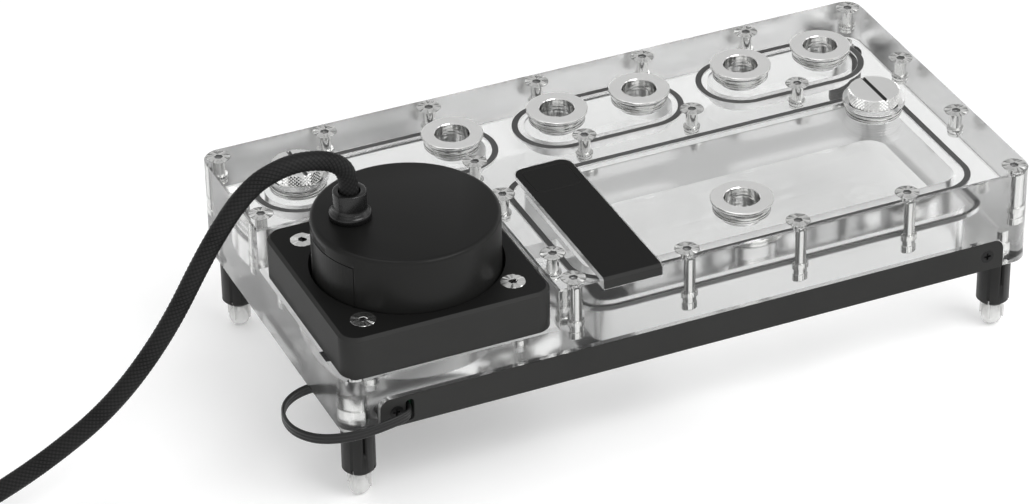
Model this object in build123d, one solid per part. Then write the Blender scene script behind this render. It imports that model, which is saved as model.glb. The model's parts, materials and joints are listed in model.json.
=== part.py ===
from build123d import *
import math
import os

# A clear acrylic distribution plate for a water cooling loop, with its pump.
# Millimetres, +Z up. X runs along the plate, Y from its front edge to its rear edge.
# The origin is on the surface that the feet stand on, below the middle of the plate.

# The plate
plate_length = 240.0
plate_width = 124.0
base_thickness = 20.0
cover_thickness = 14.5
corner_radius = 6.0
edge_chamfer = 0.5
foot_height = 28.0

# The screws that hold the cover on the base
screw_inset = 5.0
screw_spans = 4
inner_row_gap = 19.0
divider_gap = 7.7
divider_from_inner_row = 22.0
divider_from_front_row = 15.5
screw_shaft_radius = 2.0
screw_head_radius = 4.0
screw_head_height = 2.3
screw_length = 20.0
screw_clearance = 0.2
hex_across = 2.5
hex_depth = 1.6
insert_radius = 2.8
insert_length = 6.5
insert_shoulder = 0.5
insert_shoulder_length = 2.0
insert_end_room = 2.0
thread_gap = 0.03

# The ports
port_row_inset = 24.0
port_insets_from_right = (25.6, 55.6, 93.2, 123.2, 160.8)
reservoir_port_inset = 93.1
reservoir_port_from_front = 24.4
port_bore_radius = 5.72
flange_radius = 10.1
flange_thickness = 2.2
flange_proud = 0.3
flange_rim = 0.4
neck_radius = 7.9
neck_height = 1.4
thread_radius = 8.7
thread_depth = 6.2
thread_groove_radius = 8.1
thread_groove_width = 0.6
counterbore_gap = 0.2
port_seal_radius = 8.95
port_seal_section = 0.7
port_passage_radius = 7.0

# The two screw plugs
plug_right_from_right = 25.2
plug_right_from_track = 11.8
plug_left_from_left = 25.0
plug_drop = 3.1
plug_head_radius = 8.7
plug_head_proud = 2.9
plug_gap = 0.08
plug_stem_length = 7.6
plug_slot_width = 1.6
plug_slot_depth = 1.6
plug_washer_radius = 8.1
plug_washer_thickness = 0.8
plug_relief_radius = 7.9
plug_relief_height = 0.9
plug_bevel = 0.5

# The seals and the channels under the cover
seal_width = 2.0
seal_depth = 1.6
seal_gap = 0.05
port_seal_track_radius = 14.0
channel_radius = 11.0
channel_depth = 12.0
reservoir_track_left = 84.5
reservoir_track_right_inset = 14.5
reservoir_track_front = 9.8
reservoir_row_gap = 11.8
reservoir_track_corner = 11.0
reservoir_wall = 4.5
reservoir_depth = 15.0
passage_width = 8.0
passage_height = 6.0
outlet_offset = 5.0

# The pump and its mounting plate
mount_side = 70.0
mount_left_margin = 1.3
mount_front_margin = 1.0
mount_corner_radius = 6.0
mount_chamfer = 1.0
mount_floor = 4.5
mount_cut_gap = 0.7
mount_opening_radius = 30.7
mount_screw_span = 50.0
nose_opening_radius = 25.0
can_radius = 29.7
can_wall = 1.6
can_height = 28.1
can_fillet = 1.5
seam_depth = 0.3
seam_width = 0.3
seam_below_top = 4.6
seam_start_angle = 100.0
seam_end_angle = 214.6
wet_flange_thickness = 3.0
wet_flange_radius = 28.0
dome_radius = 16.0
dome_wall = 1.0
dome_height = 16.5
rotor_radius = 14.4
rotor_floor_gap = 1.0
rotor_height = 12.0
post_radius = 1.5
post_running_gap = 0.05
post_length = 9.0
impeller_radius = 17.0
impeller_disc = 1.5
impeller_blades = 6
impeller_blade_height = 4.5
impeller_hub_radius = 4.0
impeller_blade_thickness = 1.4
impeller_below_seat = 1.0
impeller_blade_inset = 1.0
volute_radius = 22.0
volute_depth = 11.0
pump_seal_radius = 29.5
stator_outer_radius = 27.0
stator_yoke = 3.0
stator_tooth_width = 5.0
stator_height = 11.0
stator_gap = 0.4
tooth_root = 0.5
coil_thickness = 2.0
coil_length = 4.6
board_radius = 24.0
board_thickness = 1.6
board_hole_radius = 3.0
can_hole_depth = 5.0

# The gland on the can
gland_from_left = 19.8
gland_from_front = 40.4
gland_base_radius = 6.7
gland_base_height = 2.2
gland_radius = 5.3
gland_height = 9.6
gland_bevel = 0.4
gland_bore_gap = 0.25
gland_floor = 2.0

# The cover bar
bar_left = 87.3
bar_width = 19.8
bar_rear_gap = 3.7
bar_thickness = 4.0
bar_corner = 4.0
bar_chamfer = 1.0
bar_gap = 0.2
badge_length = 13.6
badge_width = 15.4
badge_thickness = 0.8
badge_corner = 2.0
badge_from_end = 2.4
badge_gap = 0.15

# The light rail on the front face
rail_left = 11.6
rail_right_inset = 10.2
rail_height = 10.5
rail_thickness = 3.0
rail_corner = 3.5
rail_gap = 0.1
rail_slot_left = 20.0
rail_slot_width = 2.8
rail_slot_bottom = 1.2
rail_slot_height = 7.6
rail_slot_corner = 1.26
rail_screw_left = 17.0
rail_screw_right_inset = 16.0
rail_screw_radius = 1.25
rail_screw_head = 2.2
rail_screw_head_height = 1.3
rail_screw_length = 9.0
cross_arm = 0.35
cross_reach = 1.2
cross_depth = 0.8
light_depth = 2.4
light_margin = 8.0
light_strip_height = 6.0
light_strip_thickness = 1.0
lamp_count = 12
lamp_size = 3.0
lamp_thickness = 1.2

# The feet
foot_inset_x = 7.5
foot_inset_y = 9.5
foot_sleeve_radius = 5.4
foot_sleeve_length = 19.0
foot_sleeve_chamfer = 1.2
foot_bore_radius = 2.1
foot_slot_width = 1.1
foot_slot_length = 11.0
foot_slot_depth = 1.6
foot_slit_width = 0.8
foot_slit_depth = 2.4
foot_stud_radius = 2.0
foot_stud_above = 10.0
foot_insert_radius = 2.8
foot_insert_length = 5.5
foot_tip_radius = 3.4
foot_tip_stem = 5.5
foot_tip_fin = 0.7
foot_tip_fin_reach = 0.6
foot_tip_flat = 0.1

# The cords. Their routes are lists of points, chosen by hand.
pump_cord_diameter = 6.3
light_cord_diameter = 2.0
light_cord_width = 3.6
pump_coil_radius = 34.0
pump_coil_turns = 2
light_coil_radius = 20.0
light_coil_turns = 3
light_coil_pitch = 2.0
pump_plug_size = (24.0, 20.0, 7.0)
light_plug_size = (14.0, 8.2, 3.4)
plug_mouth_depth = 8.0
plug_mouth_side = 2.0
plug_mouth_floor = 2.4

left = -plate_length / 2
right = plate_length / 2
front = -plate_width / 2
rear = plate_width / 2
base_bottom = foot_height
base_top = base_bottom + base_thickness
cover_top = base_top + cover_thickness

mount_x = left + mount_left_margin + mount_side / 2
mount_y = front + mount_front_margin + mount_side / 2
mount_right = mount_x + mount_side / 2
mount_rear = mount_y + mount_side / 2
can_bottom = base_top + mount_floor
can_top = can_bottom + can_height
port_y = rear - port_row_inset
reservoir_rear = port_y - port_seal_track_radius - reservoir_row_gap

divider_column = mount_right + divider_gap
screw_pitch = (right - screw_inset - divider_column) / screw_spans
screw_columns = [right - screw_inset - i * screw_pitch for i in range(screw_spans + 1)]
screw_left_column = left + screw_inset
screw_middle_column = (screw_left_column + screw_columns[-1]) / 2
screw_rear_row = rear - screw_inset
screw_inner_row = port_y - inner_row_gap
screw_front_row = front + screw_inset
screw_mid_row = (screw_inner_row + screw_front_row) / 2
divider_rows = (screw_inner_row - divider_from_inner_row, screw_front_row + divider_from_front_row)

cover_screw_places = (
    [(x, screw_rear_row) for x in screw_columns]
    + [(screw_middle_column, screw_rear_row), (screw_left_column, screw_rear_row)]
    + [(x, screw_inner_row) for x in screw_columns]
    + [(screw_middle_column, screw_inner_row), (screw_left_column, screw_inner_row)]
    + [(screw_columns[0], screw_mid_row)]
    + [(x, screw_front_row) for x in screw_columns]
    + [(screw_columns[-1], y) for y in divider_rows]
)
half_span = mount_screw_span / 2
pump_screw_places = [
    (mount_x + i * half_span, mount_y + j * half_span) for i in (-1, 1) for j in (-1, 1)
]
port_places = [(right - inset, port_y) for inset in reversed(port_insets_from_right)]
reservoir_port = (right - reservoir_port_inset, front + reservoir_port_from_front)
plug_left = (left + plug_left_from_left, port_y)
plug_right = (right - plug_right_from_right, reservoir_rear - plug_right_from_track)
foot_places = {
    "front_left": (left + foot_inset_x, front + foot_inset_y),
    "front_right": (right - foot_inset_x, front + foot_inset_y),
    "rear_left": (left + foot_inset_x, rear - foot_inset_y),
    "rear_right": (right - foot_inset_x, rear - foot_inset_y),
}


def disc(x, y, low, high, radius):
    """A solid cylinder about a vertical axis, from one height to another."""
    return Pos(x, y, (low + high) / 2) * Cylinder(radius, high - low)


def ring(x, y, low, high, outer, inner):
    return disc(x, y, low, high, outer) - disc(x, y, low - 1, high + 1, inner)


def block(x0, x1, y0, y1, z0, z1):
    return Pos((x0 + x1) / 2, (y0 + y1) / 2, (z0 + z1) / 2) * Box(x1 - x0, y1 - y0, z1 - z0)


def slab(x0, x1, y0, y1, z0, z1, corner):
    """A block whose four upright edges are rounded."""
    outline = Pos((x0 + x1) / 2, (y0 + y1) / 2, z0) * RectangleRounded(x1 - x0, y1 - y0, corner)
    return extrude(outline, z1 - z0)


def stadium(x0, x1, y, radius, z0, z1):
    """A slot shape with round ends centred on x0 and x1."""
    outline = Pos((x0 + x1) / 2, y, z0) * SlotCenterToCenter(x1 - x0, 2 * radius)
    return extrude(outline, z1 - z0)


def turned(x, y, profile):
    """A solid of revolution about the vertical line through x, y."""
    outline = make_face(Polyline([Vector(r, 0, z) for r, z in profile], close=True))
    return Pos(x, y, 0) * revolve(outline, Axis.Z)


def group(solids):
    return Compound(children=list(solids))


def save(name, shape):
    export_step(shape, "parts/" + name + ".step")


def screw_blank(x, y, top, length, shaft, head, head_height):
    """The space that a flat head screw takes, head up."""
    profile = [(0, top), (head, top), (shaft, top - head_height), (shaft, top - length), (0, top - length)]
    return turned(x, y, profile)


def flat_head_screw(x, y, top):
    blank = screw_blank(x, y, top, screw_length, screw_shaft_radius, screw_head_radius, screw_head_height)
    socket = extrude(Pos(x, y, top - hex_depth) * RegularPolygon(hex_across / math.sqrt(3), 6), hex_depth + 1)
    return blank - socket


def screw_hole(x, y, top, low):
    """A countersunk clearance hole for a flat head screw, down to low."""
    shaft = screw_shaft_radius + screw_clearance
    return turned(x, y, [(0, top + 1), (screw_head_radius, top + 1), (screw_head_radius, top),
                         (shaft, top - screw_head_height), (shaft, low - 1), (0, low - 1)])


def insert_shape(x, y, top, bore):
    low = top - insert_length
    shoulder = top - insert_shoulder_length
    outer = turned(x, y, [(0, top), (insert_radius, top), (insert_radius, shoulder),
                          (insert_radius - insert_shoulder, shoulder), (insert_radius - insert_shoulder, low),
                          (0, low)])
    return outer if bore == 0 else outer - disc(x, y, low - 1, top + 1, bore)


def insert_hole(x, y, top):
    """The stepped hole of an insert, with room below it for the screw's end."""
    return insert_shape(x, y, top, 0) + disc(x, y, top - insert_length - insert_end_room, top, screw_shaft_radius)


def seal_track_stadium(x0, x1, y, gap):
    top = base_top
    outer = stadium(x0, x1, y, port_seal_track_radius + seal_width / 2 + gap, top - seal_depth, top)
    inner = stadium(x0, x1, y, port_seal_track_radius - seal_width / 2 - gap, top - seal_depth - 1, top + 1)
    return outer - inner


def reservoir_track(gap):
    half = seal_width / 2 + gap
    x0 = left + reservoir_track_left
    x1 = right - reservoir_track_right_inset
    y0 = front + reservoir_track_front
    y1 = reservoir_rear
    low = base_top - seal_depth
    outer = slab(x0 - half, x1 + half, y0 - half, y1 + half, low, base_top, reservoir_track_corner + half)
    inner = slab(x0 + half, x1 - half, y0 + half, y1 - half, low - 1, base_top + 1, reservoir_track_corner - half)
    return outer - inner


def pump_seal(gap):
    low = base_top - seal_depth
    return ring(mount_x, mount_y, low, base_top, pump_seal_radius + seal_width / 2 + gap,
                pump_seal_radius - seal_width / 2 - gap)


channels = {
    "left": (plug_left[0], port_places[0][0]),
    "middle": (port_places[1][0], port_places[2][0]),
    "right": (port_places[3][0], port_places[4][0]),
}


def rail_outline(gap, depth):
    """The rail's own shape on the front face: square below, with two rounded upper corners."""
    x0 = left + rail_left - gap
    x1 = right - rail_right_inset + gap
    low = base_bottom
    height = rail_height + gap
    body = block(x0, x1, front, front + depth, low, low + height)
    upper = body.edges().filter_by(Axis.Y).group_by(Axis.Z)[-1]
    return fillet(upper, rail_corner)


def light_pocket():
    x0 = left + rail_left + light_margin
    x1 = right - rail_right_inset - light_margin
    y0 = front + rail_thickness
    middle = base_bottom + rail_height / 2
    half = light_strip_height / 2 + seal_gap
    return block(x0, x1, y0, y0 + light_depth, middle - half, middle + half)


def rail_screw_places():
    middle = base_bottom + rail_height / 2
    return [(left + rail_screw_left, middle), (right - rail_screw_right_inset, middle)]


def rail_screw_shape(x, z, gap):
    """A small cross head screw that enters the front face."""
    head = rail_screw_head + gap
    shaft = rail_screw_radius + gap
    profile = [(0, 0), (head, 0), (shaft, rail_screw_head_height), (shaft, rail_screw_length + gap),
               (0, rail_screw_length + gap)]
    outline = make_face(Polyline([Vector(r, 0, h) for r, h in profile], close=True))
    return Pos(x, front, z) * (Rot(-90, 0, 0) * revolve(outline, Axis.Z))


def make_base_plate():
    plate = slab(left, right, front, rear, base_bottom, base_top, corner_radius)
    plate = chamfer(plate.faces().sort_by(Axis.Z)[0].outer_wire().edges(), edge_chamfer)
    for x0, x1 in channels.values():
        plate -= seal_track_stadium(x0, x1, port_y, seal_gap)
        plate -= stadium(x0, x1, port_y, channel_radius, base_top - channel_depth, base_top)
    plate -= reservoir_track(seal_gap)
    plate -= pump_seal(seal_gap)
    wall = reservoir_wall
    plate -= slab(left + reservoir_track_left + wall, right - reservoir_track_right_inset - wall,
                  front + reservoir_track_front + wall, reservoir_rear - wall,
                  base_top - reservoir_depth, base_top, reservoir_track_corner - wall)
    volute_low = base_top - volute_depth
    plate -= disc(mount_x, mount_y, volute_low, base_top, volute_radius)
    passage_top = volute_low + passage_height
    half = passage_width / 2
    plate -= block(mount_x, left + reservoir_track_left + wall + 1, mount_y - half, mount_y + half,
                   volute_low, passage_top)
    outlet_x = mount_x - outlet_offset
    plate -= block(outlet_x - half, outlet_x + half, mount_y, port_y - channel_radius / 2,
                   volute_low, passage_top)
    for x, y in cover_screw_places + pump_screw_places:
        plate -= insert_hole(x, y, base_top)
    for x, y in foot_places.values():
        plate -= disc(x, y, base_bottom, base_bottom + foot_insert_length, foot_insert_radius)
        plate -= disc(x, y, base_bottom, base_bottom + foot_stud_above, foot_stud_radius + thread_gap)
    plate -= rail_outline(rail_gap, rail_thickness)
    plate -= light_pocket()
    for x, z in rail_screw_places():
        plate -= rail_screw_shape(x, z, thread_gap)
    return plate


def make_cover_plate():
    plate = slab(left, right, front, rear, base_top, cover_top, corner_radius)
    cut_x = mount_right + mount_cut_gap
    cut_y = mount_rear + mount_cut_gap
    notch = block(left - 1, cut_x, front - 1, cut_y, base_top - 1, cover_top + 1)
    notch = fillet(notch.edges().filter_by(Axis.Z).sort_by(Axis.X)[-2:].sort_by(Axis.Y)[-1], corner_radius)
    plate -= notch
    plate = chamfer(plate.faces().sort_by(Axis.Z)[-1].outer_wire().edges(), edge_chamfer)
    for x, y in port_places + [reservoir_port]:
        plate -= port_hole(x, y, 0.0)
    for x, y in (plug_left, plug_right):
        plate -= port_hole(x, y, plug_drop)
    for x, y in cover_screw_places:
        plate -= screw_hole(x, y, cover_top, base_top)
    plate -= bar_recess()
    return plate


def port_levels(drop):
    """Heights in a port, from the top of its flange down to the end of its thread."""
    flange_top = cover_top + flange_proud - drop
    flange_low = flange_top - flange_thickness
    neck_low = flange_low - neck_height
    return flange_top, flange_low, neck_low, neck_low - thread_depth


def port_hole(x, y, drop):
    flange_top, flange_low, neck_low, thread_low = port_levels(drop)
    wide = disc(x, y, neck_low, cover_top + 1, flange_radius + counterbore_gap)
    thread = disc(x, y, thread_low, cover_top, thread_radius + thread_gap)
    return wide + thread + disc(x, y, base_top - 1, cover_top, port_passage_radius)


def port_ring(x, y, drop):
    """A metal ring that screws into the cover and carries the fitting's thread."""
    flange_top, flange_low, neck_low, thread_low = port_levels(drop)
    rim = flange_rim
    outline = [(port_bore_radius, flange_top), (flange_radius - rim, flange_top),
               (flange_radius, flange_top - rim), (flange_radius, flange_low + rim),
               (flange_radius - rim, flange_low), (neck_radius, flange_low), (neck_radius, neck_low),
               (thread_radius, neck_low)]
    land = (thread_depth - 2 * thread_groove_width) / 3
    z = neck_low
    for _ in range(2):
        z -= land
        outline += [(thread_radius, z), (thread_groove_radius, z)]
        z -= thread_groove_width
        outline += [(thread_groove_radius, z), (thread_radius, z)]
    outline += [(thread_radius, thread_low), (port_bore_radius, thread_low)]
    return turned(x, y, outline)


def port_seal(x, y, drop):
    """The round seal that a ring's flange presses into the counterbore."""
    flange_low = port_levels(drop)[1]
    middle = flange_low - port_seal_section
    return Pos(x, y, middle) * Torus(port_seal_radius, port_seal_section)


def make_plug(x, y):
    flange_top = port_levels(plug_drop)[0]
    head_low = flange_top + plug_washer_thickness
    head_top = cover_top + plug_head_proud
    stem = port_bore_radius - plug_gap
    bevel = plug_bevel
    profile = [(0, head_top), (plug_head_radius - bevel, head_top), (plug_head_radius, head_top - bevel),
               (plug_head_radius, head_low + plug_relief_height), (plug_relief_radius, head_low + plug_relief_height),
               (plug_relief_radius, head_low), (stem, head_low), (stem, head_low - plug_stem_length),
               (0, head_low - plug_stem_length)]
    plug = turned(x, y, profile)
    half = plug_slot_width / 2
    reach = plug_head_radius + 1
    return plug - block(x - half, x + half, y - reach, y + reach, head_top - plug_slot_depth, head_top + 1)


def make_plug_washer(x, y):
    flange_top = port_levels(plug_drop)[0]
    return ring(x, y, flange_top, flange_top + plug_washer_thickness, plug_washer_radius,
                port_bore_radius + plug_gap)


def make_mount():
    x0 = mount_x - mount_side / 2
    y0 = mount_y - mount_side / 2
    plate = slab(x0, x0 + mount_side, y0, y0 + mount_side, base_top, cover_top, mount_corner_radius)
    plate = chamfer(plate.faces().sort_by(Axis.Z)[-1].outer_wire().edges(), mount_chamfer)
    plate -= disc(mount_x, mount_y, can_bottom, cover_top + 1, mount_opening_radius)
    plate -= disc(mount_x, mount_y, base_top - 1, cover_top, nose_opening_radius)
    for x, y in pump_screw_places:
        plate -= screw_hole(x, y, cover_top, base_top)
    return plate


def seam_cut():
    """A thin parting groove: part way round below the rim, then straight down."""
    top = can_top - seam_below_top
    band = ring(mount_x, mount_y, top - seam_width, top, can_radius + 1, can_radius - seam_depth)
    span = seam_end_angle - seam_start_angle
    reach = can_radius + 2
    wedge = Pos(mount_x, mount_y, top - 1) * (Rot(0, 0, seam_start_angle) * Cylinder(
        reach, 2, arc_size=span, align=(Align.NONE, Align.NONE, Align.MIN)))
    drop = block(can_radius - seam_depth, reach, -seam_width / 2, seam_width / 2, cover_top, top)
    return band.intersect(wedge) + Pos(mount_x, mount_y, 0) * (Rot(0, 0, seam_end_angle) * drop)


def make_can():
    can = disc(mount_x, mount_y, can_bottom, can_top, can_radius)
    can = fillet(can.edges().sort_by(Axis.Z)[-1], can_fillet)
    can -= disc(mount_x, mount_y, can_bottom - 1, can_top - can_wall, can_radius - can_wall)
    can -= disc(gland_x, gland_y, can_top - can_hole_depth, can_top + 1, board_hole_radius)
    return can - seam_cut()


gland_x = left + gland_from_left
gland_y = front + gland_from_front


def make_gland():
    low = can_top
    bevel = gland_bevel
    profile = [(0, low), (gland_base_radius, low), (gland_base_radius, low + gland_base_height - 2 * bevel),
               (gland_base_radius - 2 * bevel, low + gland_base_height),
               (gland_radius, low + gland_base_height + bevel), (gland_radius, low + gland_height - bevel),
               (gland_radius - bevel, low + gland_height), (0, low + gland_height)]
    bore = pump_cord_diameter / 2 + gland_bore_gap
    return turned(gland_x, gland_y, profile) - disc(gland_x, gland_y, low + gland_floor,
                                                    low + gland_height + 1, bore)


dome_low = can_bottom
dome_top = dome_low + dome_height


def make_wet_housing():
    """The flange and thin dome that keep the water away from the coils."""
    inner = dome_radius - dome_wall
    profile = [(inner, dome_low), (wet_flange_radius, dome_low),
               (wet_flange_radius, dome_low + wet_flange_thickness),
               (dome_radius, dome_low + wet_flange_thickness), (dome_radius, dome_top), (0, dome_top),
               (0, dome_top - dome_wall), (inner, dome_top - dome_wall)]
    return turned(mount_x, mount_y, profile)


def make_post():
    top = dome_top - dome_wall
    return disc(mount_x, mount_y, top - post_length, top, post_radius)


def rotor_levels():
    top = dome_top - dome_wall - rotor_floor_gap
    return top - rotor_height, top


def make_rotor():
    low, top = rotor_levels()
    body = disc(mount_x, mount_y, low, top, rotor_radius)
    post_low = dome_top - dome_wall - post_length
    return body - disc(mount_x, mount_y, post_low - rotor_floor_gap, top + 1, post_radius + post_running_gap)


def make_impeller():
    rotor_low = rotor_levels()[0]
    disc_low = base_top - impeller_below_seat
    body = disc(mount_x, mount_y, disc_low, disc_low + impeller_disc, impeller_radius)
    body += disc(mount_x, mount_y, disc_low, rotor_low, impeller_hub_radius)
    for i in range(impeller_blades):
        blade = block(impeller_hub_radius, impeller_radius - impeller_blade_inset, -impeller_blade_thickness / 2,
                      impeller_blade_thickness / 2, disc_low - impeller_blade_height, disc_low)
        body += Pos(mount_x, mount_y, 0) * (Rot(0, 0, i * 360 / impeller_blades) * blade)
    return body


stator_low = dome_low + wet_flange_thickness
tooth_count = 6


def stator_tooth(angle, gap):
    inner = dome_radius + stator_gap
    outer = stator_outer_radius - stator_yoke + tooth_root
    half = stator_tooth_width / 2 + gap
    low = stator_low + coil_thickness - gap
    high = stator_low + stator_height - coil_thickness + gap
    tooth = block(inner, outer, -half, half, low, high)
    return Pos(mount_x, mount_y, 0) * (Rot(0, 0, angle) * tooth)


def make_stator():
    core = ring(mount_x, mount_y, stator_low, stator_low + stator_height, stator_outer_radius,
                stator_outer_radius - stator_yoke)
    for i in range(tooth_count):
        core += stator_tooth(i * 360 / tooth_count, 0)
    return core


def make_coils():
    solids = []
    start = dome_radius + 2 * stator_gap
    half = stator_tooth_width / 2 + coil_thickness
    for i in range(tooth_count):
        angle = i * 360 / tooth_count
        coil = block(start, start + coil_length, -half, half, stator_low, stator_low + stator_height)
        coil = Pos(mount_x, mount_y, 0) * (Rot(0, 0, angle) * coil)
        solids.append(coil - stator_tooth(angle, 0))
    return group(solids)


def make_board():
    return ring(mount_x, mount_y, dome_top, dome_top + board_thickness, board_radius, board_hole_radius)


bar_x0 = left + bar_left
bar_x1 = bar_x0 + bar_width
bar_y1 = reservoir_rear - bar_rear_gap


def bar_recess():
    low = cover_top - bar_thickness
    gap = bar_gap
    return slab(bar_x0 - gap, bar_x1 + gap, front - 2 * corner_radius, bar_y1 + gap, low, cover_top + 1,
                bar_corner + gap)


def badge_shape(gap):
    middle = (bar_x0 + bar_x1) / 2
    y1 = bar_y1 - badge_from_end
    half = badge_width / 2
    return slab(middle - half - gap, middle + half + gap, y1 - badge_length - gap, y1 + gap,
                cover_top - badge_thickness, cover_top, badge_corner + gap)


def make_bar():
    low = cover_top - bar_thickness
    body = block(bar_x0, bar_x1, front, bar_y1, low, cover_top)
    rear_edges = body.edges().filter_by(Axis.Z).sort_by(Axis.Y)[-2:]
    body = fillet(rear_edges, bar_corner)
    front_edge = body.faces().sort_by(Axis.Z)[-1].edges().sort_by(Axis.Y)[0]
    return chamfer(front_edge, bar_chamfer) - badge_shape(badge_gap)


def make_rail():
    body = rail_outline(0, rail_thickness)
    slot = slab(-rail_slot_width / 2, rail_slot_width / 2, -rail_slot_height / 2, rail_slot_height / 2,
                -1, rail_thickness + 1, rail_slot_corner)
    slot = Pos(left + rail_slot_left + rail_slot_width / 2, front,
               base_bottom + rail_slot_bottom + rail_slot_height / 2) * (Rot(-90, 0, 0) * slot)
    body -= slot
    for x, z in rail_screw_places():
        body -= rail_screw_shape(x, z, thread_gap)
    return body


def make_rail_screws():
    solids = []
    arm = cross_arm
    reach = cross_reach
    depth = cross_depth
    for x, z in rail_screw_places():
        cross = block(x - reach, x + reach, front - 1, front + depth, z - arm, z + arm)
        cross += block(x - arm, x + arm, front - 1, front + depth, z - reach, z + reach)
        solids.append(rail_screw_shape(x, z, 0) - cross)
    return group(solids)


strip_x0 = left + rail_left + light_margin
strip_x1 = right - rail_right_inset - light_margin
strip_y = front + rail_thickness


def make_light_strip():
    middle = base_bottom + rail_height / 2
    half = light_strip_height / 2
    return block(strip_x0, strip_x1, strip_y, strip_y + light_strip_thickness, middle - half, middle + half)


def make_lamps():
    middle = base_bottom + rail_height / 2
    half = lamp_size / 2
    low = strip_y + light_strip_thickness
    step = (strip_x1 - strip_x0) / lamp_count
    places = [strip_x0 + (i + 0.5) * step for i in range(lamp_count)]
    return group([block(x - half, x + half, low, low + lamp_thickness, middle - half, middle + half)
                  for x in places])


def make_foot_sleeve(x, y):
    top = base_bottom
    low = top - foot_sleeve_length
    inner = foot_bore_radius
    edge = foot_sleeve_chamfer
    body = turned(x, y, [(inner, top), (foot_sleeve_radius, top), (foot_sleeve_radius, low + edge),
                         (foot_sleeve_radius - edge, low), (inner, low)])
    half = foot_slot_width / 2
    body -= block(x - half, x + half, y - foot_sleeve_radius - 1, y - foot_sleeve_radius + foot_slot_depth,
                  top - foot_slot_length, top)
    for angle in (45, 135, 225, 315):
        slit = block(0, foot_sleeve_radius + 1, -foot_slit_width / 2, foot_slit_width / 2,
                     low - 1, low + foot_slit_depth)
        body -= Pos(x, y, 0) * (Rot(0, 0, angle) * slit)
    return body


def make_foot_tip(x, y):
    low = base_bottom - foot_sleeve_length
    stem_top = low + foot_tip_stem
    centre = foot_tip_radius - foot_tip_flat
    body = disc(x, y, centre, stem_top, foot_bore_radius)
    body += Pos(x, y, centre) * Sphere(foot_tip_radius)
    for angle in (45, 135, 225, 315):
        fin = block(0, foot_tip_radius + foot_tip_fin_reach, -foot_tip_fin / 2, foot_tip_fin / 2, centre, low + foot_slit_depth / 2)
        body += Pos(x, y, 0) * (Rot(0, 0, angle) * fin)
    floor = block(x - 10, x + 10, y - 10, y + 10, -5, 0)
    return body - floor


def make_foot_studs():
    low = base_bottom - foot_sleeve_length + foot_tip_stem
    high = base_bottom + foot_stud_above
    return group([disc(x, y, low, high, foot_stud_radius) for x, y in foot_places.values()])


def make_foot_inserts():
    high = base_bottom + foot_insert_length
    return group([ring(x, y, base_bottom, high, foot_insert_radius, foot_stud_radius)
                  for x, y in foot_places.values()])


def cord_tube(points, diameter, name):
    """A round tube along straight runs joined by tangent arcs, as large as the runs allow."""
    corners = [Vector(*p) for p in points]
    runs = [b - a for a, b in zip(corners, corners[1:])]
    radii = []
    for a, b in zip(runs, runs[1:]):
        half_turn = math.radians(a.get_angle(b)) / 2
        radii.append(0.45 * min(a.length, b.length) / math.tan(half_turn))
    path = FilletPolyline(*corners, radius=radii)
    section = Plane(origin=corners[0], z_dir=runs[0]) * Circle(diameter / 2)
    tube = sweep(section, path)
    print(name, "radii", [round(r, 1) for r in radii], "length", round(path.length, 1),
          "volume ratio", round(tube.volume / (math.pi * diameter ** 2 / 4 * path.length), 4))
    return tube


# The pump's cord rises out of its gland, bends over to the left and comes down to the surface.
cord_floor = pump_cord_diameter / 2
pump_route = [
    (gland_x, gland_y, can_top + gland_floor),
    (-100.2, -21.6, 94.0),
    (-102.4, -21.6, 99.6),
    (-109.4, -21.6, 103.4),
    (-120.5, -21.6, 104.4),
    (-133.5, -21.7, 99.3),
    (-146.8, -21.8, 82.0),
    (-162.0, -21.8, 55.0),
    (-181.0, -21.8, 33.2),
    (-204.0, -21.8, 19.0),
    (-227.0, -21.7, 9.2),
    (-246.0, -21.6, cord_floor),
    (-263.0, -21.6, cord_floor),
]
coil_lead = 25.0
pump_coil_centre = (pump_route[-1][0] - coil_lead,
                    pump_route[-1][1] - pump_coil_radius - pump_cord_diameter * pump_coil_turns / 2)


def make_pump_coil():
    """The outer shape of the coil, with the straight lead that runs into it."""
    x, y = pump_coil_centre
    half_band = pump_cord_diameter * (pump_coil_turns + 1) / 2
    outer = pump_coil_radius + half_band
    body = ring(x, y, 0, pump_cord_diameter, outer, pump_coil_radius - half_band)
    lead_y = pump_route[-1][1]
    return body + block(x, pump_route[-1][0], lead_y - cord_floor, lead_y + cord_floor, 0, pump_cord_diameter)


def make_pump_plug():
    length, width, height = pump_plug_size
    x = pump_coil_centre[0] - pump_coil_radius
    y = pump_coil_centre[1]
    low = pump_cord_diameter
    body = block(x - width / 2, x + width / 2, y - length / 2, y + length / 2, low, low + height)
    mouth = block(x - width / 2 - 1, x - width / 2 + plug_mouth_depth,
                  y - length / 2 + plug_mouth_side, y + length / 2 - plug_mouth_side,
                  low + plug_mouth_floor, low + height - plug_mouth_floor)
    return body - mouth


# The light's flat cord leaves its slot, goes round the front left foot and back under the plate.
light_route = [
    (-98.6, front + rail_thickness, 33.2),
    (-98.6, -63.2, 33.2),
    (-102.0, -65.4, 33.0),
    (-109.6, -66.3, 32.4),
    (-119.0, -66.0, 31.4),
    (-128.2, -62.0, 30.4),
    (-133.2, -54.2, 29.4),
    (-133.8, -45.0, 28.4),
    (-130.6, -36.0, 27.2),
    (-123.5, -28.5, 25.2),
    (-113.6, -22.6, 21.9),
    (-102.6, -16.0, 15.6),
    (-91.6, -8.2, 8.8),
    (-82.4, -1.0, 3.6),
    (-73.5, 6.6, 1.9),
    (-64.2, 6.6, 1.9),
]
light_lead = 11.0
light_coil_centre = (light_route[-1][0] + light_lead,
                     light_route[-1][1] + light_coil_radius + light_coil_pitch * light_coil_turns / 2)


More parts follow.
